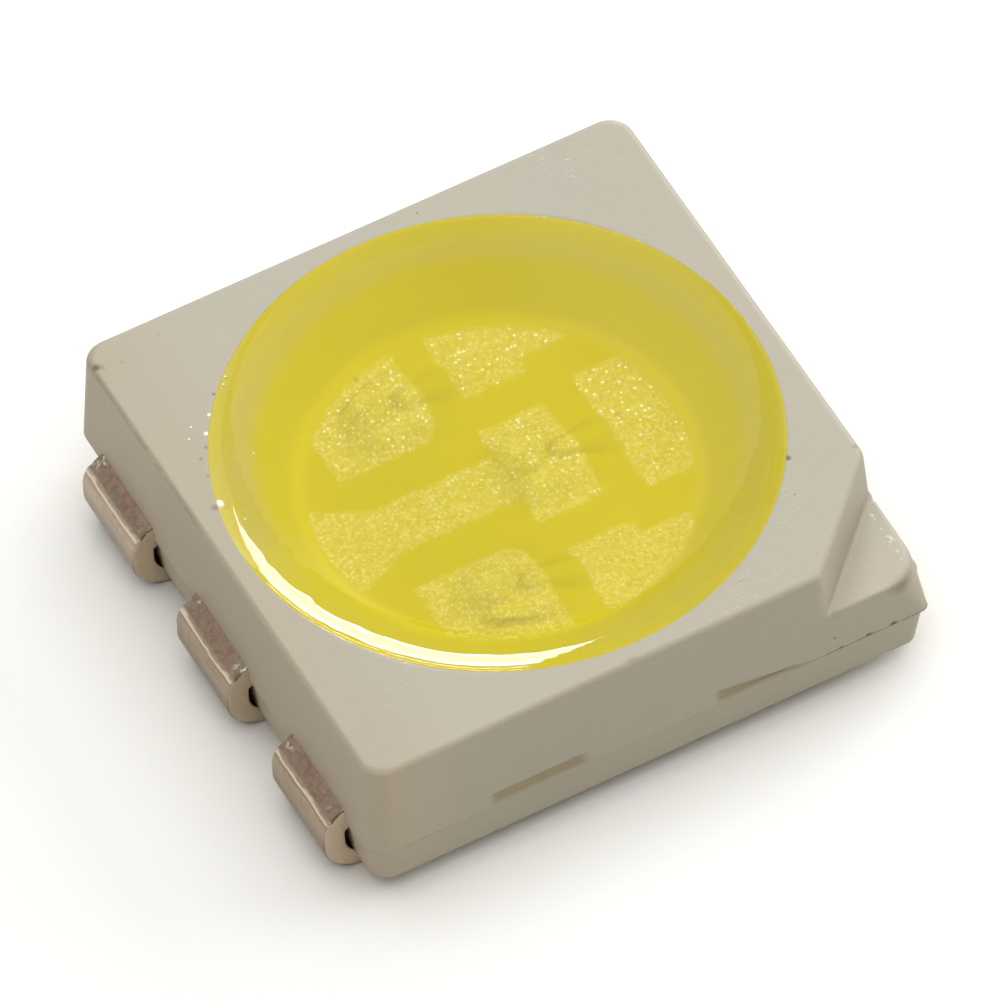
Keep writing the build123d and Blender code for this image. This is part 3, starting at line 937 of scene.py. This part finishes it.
class LeadShape:
    """Rings along one terminal's J bend, from inside the wall to the end of its foot."""

    START = 2.30 * MM
    SECTION_STEPS = 36
    # Where the outer face starts to be worn, and the point in the bend that the wear sinks towards
    WORN_FROM = (2.46 * MM, 2.52 * MM)
    BEND_MIDDLE = (2.2 * MM, 0.45 * MM)
    BURR_WIDTH = 0.014 * MM

    def __init__(self, sizes, side, row, seed):
        self.sizes = sizes
        self.side = side
        self.row = row
        self.seed = seed

    def path(self):
        """Middle line in the plane of the bend: places and outward directions."""
        sizes = self.sizes
        half = sizes.thickness / 2
        reach = -lead_low.x - (sizes.right_setback if self.side > 0 else 0)
        top = lead_high.z - half
        shoulder = np.array([reach - sizes.shoulder_radius, lead_high.z - sizes.shoulder_radius])
        foot = np.array([reach - sizes.foot_radius, sizes.foot_radius])
        spans = [
            [((x, top), (0, 1)) for x in np.linspace(self.START, shoulder[0], 8, endpoint=False)],
            self.bend(shoulder, sizes.shoulder_radius - half, 90, 0, 40),
            [((reach - half, z), (1, 0)) for z in np.linspace(shoulder[1], foot[1], 6, endpoint=False)],
            self.bend(foot, sizes.foot_radius - half, 0, -90, 36),
            [((x, half), (0, -1)) for x in np.linspace(foot[0], reach - sizes.foot_length, 14)],
        ]
        return [step for span in spans for step in span]

    @staticmethod
    def bend(centre, radius, start, end, steps):
        turns = np.radians(np.linspace(start, end, steps, endpoint=False))
        return [(tuple(centre + radius * way), tuple(way)) for way in ways(turns)]

    def section(self):
        """Rounded rectangle: offsets outward from the middle line, and along the width."""
        half, wide, edge = self.sizes.thickness / 2, self.sizes.width / 2, self.sizes.edge
        outward, across = [], []
        corners = [(half, -wide, 180), (half, wide, 90), (-half, wide, 0), (-half, -wide, -90)]
        for number, (out, along, start) in enumerate(corners):
            centre_out = out - math.copysign(edge, out)
            centre_along = along - math.copysign(edge, along)
            for turn in np.radians(start - np.linspace(0, 90, 7)):
                outward.append(centre_out + edge * math.sin(turn))
                across.append(centre_along + edge * math.cos(turn))
            if number in (0, 2):
                direction = 1 if number == 0 else -1
                run = np.linspace(-wide + edge, wide - edge, self.SECTION_STEPS)[1:-1] * direction
                outward.extend([out] * len(run))
                across.extend(run)
        return np.array(outward), np.array(across)

    def worn(self, ring, outer):
        """Scrape the shoulder and raise a burr below it, on the outer face only."""
        x, z = np.abs(ring[:, 0]), ring[:, 2]
        ridge = self.sizes.ridge_height
        shoulder = smooth(z, ridge, ridge + 0.03 * MM) * smooth(x, *self.WORN_FROM)
        grit = rough(ring, 16.0, self.seed) * 0.003 + rough(ring, 5.0, self.seed + 3) * 0.005
        wander = rough(ring, 1.6, self.seed + 7) * 0.012 * MM
        burr = np.exp(-(((z - ridge - wander) / self.BURR_WIDTH) ** 2))
        fall = outer * (shoulder * (0.016 - grit) - burr * 0.004) * MM
        middle_x, middle_z = self.BEND_MIDDLE
        scale = 1 - fall / np.hypot(x - middle_x, z - middle_z)
        ring[:, 0] = np.sign(ring[:, 0]) * (middle_x + (x - middle_x) * scale)
        ring[:, 2] = middle_z + (z - middle_z) * scale
        return ring

    def make(self):
        outward, across = self.section()
        outer = (outward > 0).astype(float)
        rings = []
        sizes = self.sizes
        for (x, z), (way_x, way_z) in self.path():
            thicker = sizes.bend_thickening * max(way_z, 0) + sizes.side_thickening * way_x
            reach = outward - (1 - outer) * thicker
            along = (x + reach * way_x) * self.side
            ring = np.column_stack([along, self.row * sizes.pitch + across, z + reach * way_z])
            rings.append(self.worn(ring, outer))
        return rings if self.side > 0 else [ring[::-1] for ring in rings]


def lead_material():
    """Plated copper: streaky silver, a scraped coppery shoulder, dull cut edges, with painted light, glints and
    shade.
    """
    colours, sizes = settings().colours, settings().leads
    paint = Paint("plated_copper")
    y, z, reach = paint.y, paint.z, abs(paint.x)
    streaks = paint.grain(30.0, 3.0, 0.7, paint.stretched(1, 0.08, 1)) * 0.6
    streaks = streaks + paint.grain(24.0, 3.0, 0.7, paint.stretched(1, 1, 0.08)) * 0.4
    colour = paint.shaded(paint.ramp(streaks, 0.35, 0.65), colours.silver, 0.74, 0.946)
    # Painted light: the back terminals, and the upper part of each terminal, lighter
    colour = paint.tint(paint.ramp(y, 0.6, 1.2), colour, (1.22, 1.25, 1.30))
    colour = paint.tint(paint.ramp(z, 0.34, 0.56), colour, (1.36, 1.37, 1.36))
    # The scraped shoulder, with painted glints near its ends
    ridge = sizes.ridge_height / MM
    outside = paint.ramp(reach, 2.40, 2.44)
    shoulder = paint.ramp(z, ridge, ridge + 0.025) * outside
    from_middle = paint.zigzag(y, sizes.pitch / MM / 2)
    plated = paint.ramp(paint.grain(7.0, 4.0, 0.7) + from_middle * 0.3, 0.50, 0.66)
    scraped = paint.mix(plated, colours.copper, [c * 0.82 for c in colours.silver])
    scraped = paint.tint(paint.patches(0.42, 0.62, 22.0, 3.0, 0.7), scraped, (0.80, 0.78, 0.78))
    colour = paint.mix(shoulder, colour, scraped)
    glint = paint.patches(0.55, 0.63, 15.0, 2.0, 0.6) * shoulder
    glint = glint * paint.ramp(from_middle, 0.27, 0.37) * paint.ramp(reach, 2.62, 2.54)
    colour = paint.mix(glint * 0.7, colour, (0.62, 0.58, 0.56))
    # A painted highlight along the burr, and a line of painted shade below it, both wandering
    wander = z + paint.grain(2.0, 2.0, 0.5) * 0.05 + paint.grain(10.0, 2.0, 0.5) * 0.02 - 0.035
    line = paint.between(wander, ridge - 0.034, ridge - 0.016, 0.006) * outside
    colour = paint.tint(line * 0.3, colour, (0.50, 0.42, 0.36))
    burr = paint.between(wander, ridge - 0.012, ridge + 0.008, 0.005) * outside
    colour = paint.mix(burr * 0.85, colour, (0.66, 0.58, 0.49))
    # The shaded foot and inside, and the stamped ends
    colour = paint.tint(paint.ramp(z, 0.22, 0.05) * 0.5, colour, (0.86, 0.80, 0.72))
    inner = paint.ramp(reach, 2.28, 2.33) * paint.ramp(reach, 2.530, 2.515) * paint.ramp(z, 0.60, 0.56)
    colour = paint.tint(inner, colour, (0.42, 0.24, 0.11))
    facing = paint.node("ShaderNodeNewGeometry", {}, {}, "Normal")
    side = paint.node("ShaderNodeSeparateXYZ", {}, {"Vector": facing}, 1)
    end = paint.ramp(abs(side), 0.75, 0.92)
    dull_end = paint.shaded(paint.grain(16.0, 3.0, 0.6), colours.cut_copper, 0.86, 1.14)
    colour = paint.mix(end * 0.95, colour, dull_end)
    relief = streaks * 0.4 + paint.grain(50.0, 3.0, 0.7) * shoulder * 0.7 + paint.grain(40.0) * end * 0.6
    return paint.finish(paint.principled(
        base_color=colour, metallic=1 - end * 0.85, normal=paint.bump(relief, 0.005),
        roughness=0.42 - shoulder * 0.02 + end * 0.18 - glint * 0.10))


# Where a terminal's flat part is cut off: inside the wall, and below the strip
PAD_END = 2.36 * MM
PAD_BELOW = 0.5 * MM


def pad_piece(number, side, material):
    """The flat part of a terminal inside the body, cut from the frame's own form."""
    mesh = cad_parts[f"lead_{number}"].data.copy()
    edit = bmesh.new()
    edit.from_mesh(mesh)
    bmesh.ops.remove_doubles(edit, verts=edit.verts, dist=0.0005 * MM)
    for place, outward in [((side * PAD_END, 0, 0), (side, 0, 0)), ((0, 0, PAD_BELOW), (0, 0, -1))]:
        everything = edit.verts[:] + edit.edges[:] + edit.faces[:]
        bmesh.ops.bisect_plane(edit, geom=everything, plane_co=place, plane_no=outward, clear_outer=True)
        bmesh.ops.holes_fill(edit, edges=[edge for edge in edit.edges if edge.is_boundary])
    edit.to_mesh(mesh)
    edit.free()
    add_piece(f"terminal_pad_{number}", mesh, material, [f"lead_{number}"])


class LED_OT_leads(bpy.types.Operator):
    """Build the six terminals: their bends outside the body and their pads inside it"""

    bl_idname = "led.leads"
    bl_label = "Terminals"

    def execute(self, context):
        sizes = settings().leads
        material = lead_material()
        places = [(-1, 1), (-1, 0), (-1, -1), (1, -1), (1, 0), (1, 1)]
        for number, (side, row) in enumerate(places, start=1):
            rings = LeadShape(sizes, side, row, 11.0 * number).make()
            build(f"terminal_bend_{number}", rings, material, [f"lead_{number}"])
            pad_piece(number, side, material)
        return {"FINISHED"}


# Where each die's two wires end: own pad, then the opposite terminal's pad, in millimetres
WIRE_FEET = [
    [(-0.84, 0.92), (0.32, 1.10)],
    [(0.04, 0.0), (1.14, 0.0)],
    [(-0.84, -0.92), (0.32, -1.10)],
]
WIRE_RADIUS = 0.015 * MM
BALL_RADIUS = 0.038 * MM
CONTACT_OFFSET = 0.10 * MM
# Heights of the two points that pull the loop up, above the die
LOOP_PULLS = (0.10 * MM, 0.085 * MM)


def wire_rings(contact, foot):
    """A bond wire: its ball, a smooth loop and its flattened foot."""
    contact, foot = np.array(contact), np.array([*foot, gel_low.z])
    span = np.hypot(*(foot - contact)[:2])
    heading = np.array([*(foot - contact)[:2], 0]) / span
    side = np.array([-heading[1], heading[0], 0])
    end = 0.006 * MM - (contact[2] - foot[2])
    bends = np.array([(0, 0), (0, LOOP_PULLS[0]), (0.25 * span, LOOP_PULLS[1]), (span, end)])
    rings = []
    turns = np.arange(14) / 14 * 2 * math.pi
    for share in np.concatenate([np.linspace(0, 0.12, 7), np.linspace(0.16, 1, 34)]):
        weights = [(1 - share) ** 3, 3 * (1 - share) ** 2 * share, 3 * (1 - share) * share**2, share**3]
        run, rise = np.dot(weights, bends)
        ahead = 3 * ((1 - share) ** 2 * (bends[1] - bends[0]) + 2 * (1 - share) * share
                     * (bends[2] - bends[1]) + share**2 * (bends[3] - bends[2]))
        ahead /= np.hypot(*ahead)
        ball = math.sqrt(max(0, 1 - (share / 0.05) ** 2)) * (BALL_RADIUS - WIRE_RADIUS)
        flat = smooth(np.array(share), 0.90, 0.97)
        wide = WIRE_RADIUS + ball + flat * 0.010 * MM
        high = WIRE_RADIUS + ball - flat * 0.009 * MM
        across = heading * -ahead[1] + np.array([0, 0, ahead[0]])
        centre = contact + heading * run + np.array([0, 0, rise])
        rings.append(centre + np.outer(wide * np.cos(turns), side) + np.outer(high * np.sin(turns), across))
    return rings


def wires():
    """The number and letter of each wire, and its rings."""
    for number, feet in enumerate(WIRE_FEET, start=1):
        low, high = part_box(f"led_chip_{number}")
        for letter, offset, foot in zip("ab", (-CONTACT_OFFSET, CONTACT_OFFSET), feet):
            contact = ((low.x + high.x) / 2 + offset, (low.y + high.y) / 2, high.z)
            yield f"{number}{letter}", wire_rings(contact, [place * MM for place in foot])


def gold_material():
    """Gold wire under a dusting of phosphor."""
    colours = settings().colours
    paint = Paint("dusted_gold")
    colour = paint.mix(paint.patches(0.38, 0.60, 28.0, 2.0, 0.6), colours.gold, colours.phosphor)
    return paint.finish(paint.principled(
        base_color=colour, roughness=0.7, specular_ior_level=0.0, normal=paint.upward()))


class LED_OT_wires(bpy.types.Operator):
    """Build the six gold bond wires"""

    bl_idname = "led.wires"
    bl_label = "Bond wires"

    def execute(self, context):
        material = gold_material()
        for mark, rings in wires():
            build(f"gold_wire_{mark}", rings, material, [f"bond_wire_{mark}"])
        return {"FINISHED"}


def chip_material():
    """Blue die: clear sapphire with a grid of fine contact fingers on its top."""
    paint = Paint("sapphire_die")
    colour = paint.mix(paint.grain(20.0, 2.0, 0.6), (0.16, 0.20, 0.30), (0.24, 0.30, 0.42))
    fingers = paint.node(
        "ShaderNodeTexWave", {"bands_direction": "Y"}, {"Vector": paint.place, "Scale": 4.0}, "Fac")
    top = paint.ramp(paint.z, 0.915, 0.919)
    colour = paint.mix(paint.ramp(fingers, 0.90, 0.97) * top, colour, (0.65, 0.55, 0.25))
    return paint.finish(paint.principled(base_color=colour, roughness=0.18, ior=1.77))


def adhesive_material():
    """Whitish die-attach resin."""
    paint = Paint("die_attach_resin")
    colour = paint.mix(paint.grain(14.0, 3.0, 0.6), (0.55, 0.52, 0.42), (0.68, 0.65, 0.55))
    return paint.finish(paint.principled(base_color=colour, roughness=0.35))


class LED_OT_dies(bpy.types.Operator):
    """Give the dies and the resin under them their finishes"""

    bl_idname = "led.dies"
    bl_label = "Dies"

    def execute(self, context):
        for family, material in [("led_chip", chip_material()), ("die_attach", adhesive_material())]:
            for number in (1, 2, 3):
                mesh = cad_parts[f"{family}_{number}"].data
                mesh.materials.clear()
                mesh.materials.append(material)
        return {"FINISHED"}


# What the camera looks at, in millimetres
AIM = (0.012, 0.023, 0.8)
# Name, azimuth and elevation in degrees, distance, width and height in metres, and power in watts
LIGHTS = [
    ("overhead", 0, 90, 0.50, 0.85, 0.85, 3.60),
    ("side_fill", 95, 25, 0.50, 0.60, 0.35, 1.44),
]
# Lamps that are only seen as glints: the window's pane, its two bright edges, a low gap and a card
GLINTS = [
    ("pane", 142, 26, 0.40, 0.190, 0.160, 2.1),
    ("lower_edge", 142, 16, 0.40, 0.190, 0.014, 0.21),
    ("upper_edge", 142, 36, 0.40, 0.190, 0.014, 0.21),
    ("low_gap", 142, 6, 0.40, 0.185, 0.010, 0.10),
    ("back_card", 235, 20, 0.50, 0.70, 0.35, 0.70),
]


def direction(azimuth, elevation):
    """From the part towards a place: azimuth 0 is -Y and 90 is +X."""
    flat = math.cos(elevation)
    return Vector((math.sin(azimuth) * flat, -math.cos(azimuth) * flat, math.sin(elevation)))


class LED_OT_stage(bpy.types.Operator):
    """Build the floor, the lights and the camera"""

    bl_idname = "led.stage"
    bl_label = "Stage"

    def execute(self, context):
        self.floor()
        for name, azimuth, elevation, distance, width, height, power in LIGHTS + GLINTS:
            way = direction(math.radians(azimuth), math.radians(elevation))
            self.light(name, way, distance, (width, height), power)
        for name, *_ in GLINTS:
            bpy.data.objects[name].visible_diffuse = False
        self.sky(context.scene)
        self.camera(context.scene)
        context.scene.view_settings.view_transform = "Standard"
        return {"FINISHED"}

    def floor(self):
        reach = 0.6
        corners = [(x * reach, y * reach, 0) for x, y in CORNERS]
        mesh = bpy.data.meshes.new("floor")
        mesh.from_pydata(corners, [], [(0, 1, 2, 3)])
        paint = Paint("floor")
        colour = paint.shaded(paint.grain(0.05), settings().colours.floor, 0.995, 1.0)
        mesh.materials.append(paint.finish(paint.principled(base_color=colour, roughness=0.9)))
        put("floor", mesh)

    def light(self, name, way, distance, size, power):
        data = bpy.data.lights.new(name, "AREA")
        data.shape = "ELLIPSE" if size[0] == size[1] else "RECTANGLE"
        data.size, data.size_y = size
        data.energy = power
        lamp = put(name, data)
        lamp.location = way * distance
        lamp.rotation_mode = "QUATERNION"
        lamp.rotation_quaternion = (-way).to_track_quat("-Z", "Y")

    def sky(self, scene):
        scene.world = bpy.data.worlds.new("studio")
        scene.world.use_nodes = True
        tree = Nodes(scene.world.node_tree)
        seen = tree.node("ShaderNodeBackground", {}, {"Color": (1, 1, 1, 1), "Strength": 1.0})
        sky = {"Color": opaque(settings().colours.sky), "Strength": settings().stage.sky}
        light = tree.node("ShaderNodeBackground", {}, sky)
        direct = tree.node("ShaderNodeLightPath", {}, {}, "Is Camera Ray")
        both = tree.node("ShaderNodeMixShader", {}, {0: direct, 1: light, 2: seen})
        tree.node("ShaderNodeOutputWorld", {}, {"Surface": both})

    def camera(self, scene):
        stage = settings().stage
        data = bpy.data.cameras.new("camera")
        data.lens = stage.lens
        data.clip_start, data.clip_end = 1 * MM, 10.0
        camera = put("camera", data)
        back = direction(stage.camera_azimuth, stage.camera_elevation)
        camera.location = Vector(AIM) * MM + back * stage.camera_distance
        camera.rotation_mode = "QUATERNION"
        roll = Quaternion((0, 0, 1), stage.camera_roll)
        camera.rotation_quaternion = (-back).to_track_quat("-Z", "Y") @ roll
        scene.camera = camera


class LedSettings(bpy.types.PropertyGroup):
    """All settings of the part."""

    body: bpy.props.PointerProperty(type=BodySizes, name="Body", description="Sizes of the body")
    cup: bpy.props.PointerProperty(type=CupSizes, name="Cup", description="Sizes of the cup")
    leads: bpy.props.PointerProperty(type=LeadSizes, name="Terminals", description="Sizes of the terminals")
    colours: bpy.props.PointerProperty(type=Colours, name="Colours", description="Colours of the finishes")
    stage: bpy.props.PointerProperty(type=StageSettings, name="Stage", description="Camera and lights")


OPERATORS = [
    LED_OT_stage, LED_OT_housing, LED_OT_leads, LED_OT_dies, LED_OT_wires, LED_OT_phosphor,
    LED_OT_encapsulant,
]


class LED_PT_panel(bpy.types.Panel):
    """The part's settings, and a button for each of its pieces"""

    bl_idname = "LED_PT_panel"
    bl_label = "Surface-Mount LED"
    bl_space_type = "VIEW_3D"
    bl_region_type = "UI"
    bl_category = "LED"

    def draw(self, context):
        for group in ("body", "cup", "leads", "colours", "stage"):
            values = getattr(context.scene.led, group)
            column = self.layout.column(heading=group.title())
            for name in values.__annotations__:
                column.prop(values, name)
        for operator in OPERATORS:
            self.layout.operator(operator.bl_idname)


CLASSES = [BodySizes, CupSizes, LeadSizes, Colours, StageSettings, LedSettings, *OPERATORS, LED_PT_panel]


def register():
    for each in CLASSES:
        bpy.utils.register_class(each)
    bpy.types.Scene.led = bpy.props.PointerProperty(type=LedSettings)


def unregister():
    del bpy.types.Scene.led
    for each in reversed(CLASSES):
        bpy.utils.unregister_class(each)


def main():
    register()
    bpy.ops.led.stage()
    bpy.ops.led.housing()
    bpy.ops.led.leads()
    bpy.ops.led.dies()
    bpy.ops.led.wires()
    bpy.ops.led.phosphor()
    bpy.ops.led.encapsulant()


if __name__ == "__main__":
    main()
